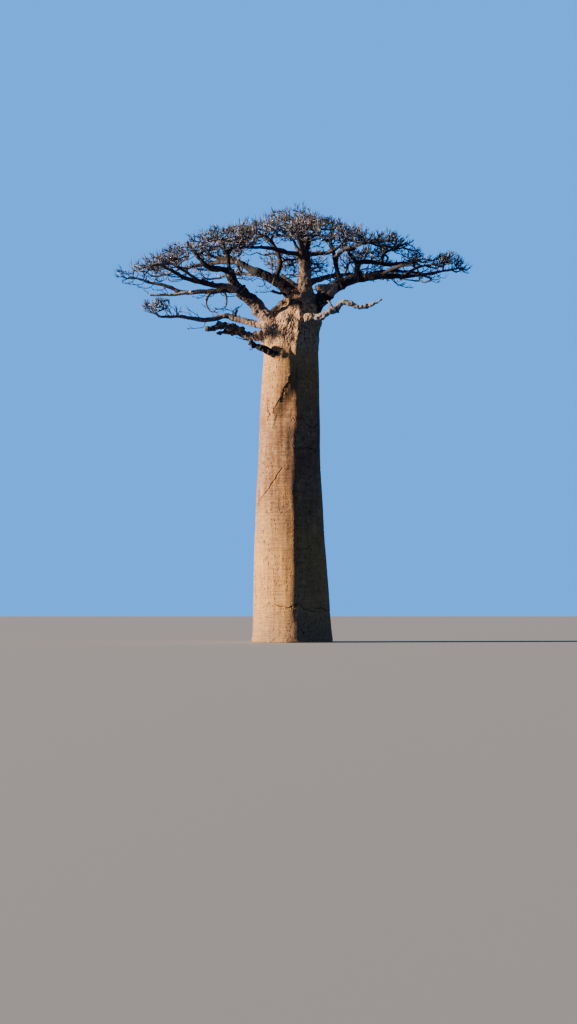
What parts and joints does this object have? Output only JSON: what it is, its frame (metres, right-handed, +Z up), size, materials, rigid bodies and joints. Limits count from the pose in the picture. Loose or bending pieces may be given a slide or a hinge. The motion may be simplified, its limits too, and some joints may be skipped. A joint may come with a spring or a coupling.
{
  "type": "baobab tree",
  "caption": "Tall leafless baobab tree with a thick straight trunk, crooked boughs and a flat umbrella crown of short twigs, rooted in the ground.",
  "frame": {"origin": "centre of the flat cut at ground level under the trunk", "axes": "+Z up along the trunk, -Y towards the viewer of the picture, +X to the viewer's right"},
  "size_m": [20.2766, 16.6744, 24.9989],
  "materials": {
    "trunk_bark": "matte smooth bark",
    "bough_bark": "matte rough bark",
    "twigs": "matte"
  },
  "bodies": {
    "root": {"trunk": "trunk_bark", "left_bough": "bough_bark", "left_arm": "bough_bark", "left_riser": "bough_bark", "left_low_arm": "bough_bark", "left_middle_arm": "bough_bark", "left_broken_limb": "bough_bark", "lower_left_bough": "bough_bark", "dead_left_limb": "bough_bark", "low_left_stub": "bough_bark", "centre_left_bough": "bough_bark", "arch_riser": "bough_bark", "centre_column": "bough_bark", "column_left_arm": "bough_bark", "column_top_arm": "bough_bark", "column_right_arm": "bough_bark", "right_bough": "bough_bark", "right_riser": "bough_bark", "right_upper_arm": "bough_bark", "right_fork_arm": "bough_bark", "right_high_arm": "bough_bark", "right_top_arm": "bough_bark", "dead_right_limb": "bough_bark", "back_bough": "bough_bark", "back_left_arm": "bough_bark", "back_right_arm": "bough_bark", "back_top_arm": "bough_bark", "left_back_arm": "bough_bark", "right_back_arm": "bough_bark", "front_arm": "bough_bark", "front_top_arm": "bough_bark", "front_right_arm": "bough_bark", "left_front_arm": "bough_bark", "right_front_arm": "bough_bark", "top_twigs": "twigs", "upper_left_twigs": "twigs", "upper_right_twigs": "twigs", "left_top_twigs": "twigs", "left_arm_twigs": "twigs", "left_tip_twigs": "twigs", "left_middle_twigs": "twigs", "lower_left_twigs": "twigs", "inner_left_twigs": "twigs", "right_shoulder_twigs": "twigs", "right_high_twigs": "twigs", "right_outer_twigs": "twigs", "right_tip_twigs": "twigs", "front_left_twigs": "twigs", "left_front_twigs": "twigs", "front_twigs": "twigs", "front_right_twigs": "twigs", "right_front_twigs": "twigs", "top_front_twigs": "twigs", "top_back_twigs": "twigs", "back_twigs": "twigs", "back_left_twigs": "twigs", "back_right_twigs": "twigs", "left_back_twigs": "twigs", "right_back_twigs": "twigs"}
  },
  "joints": []
}
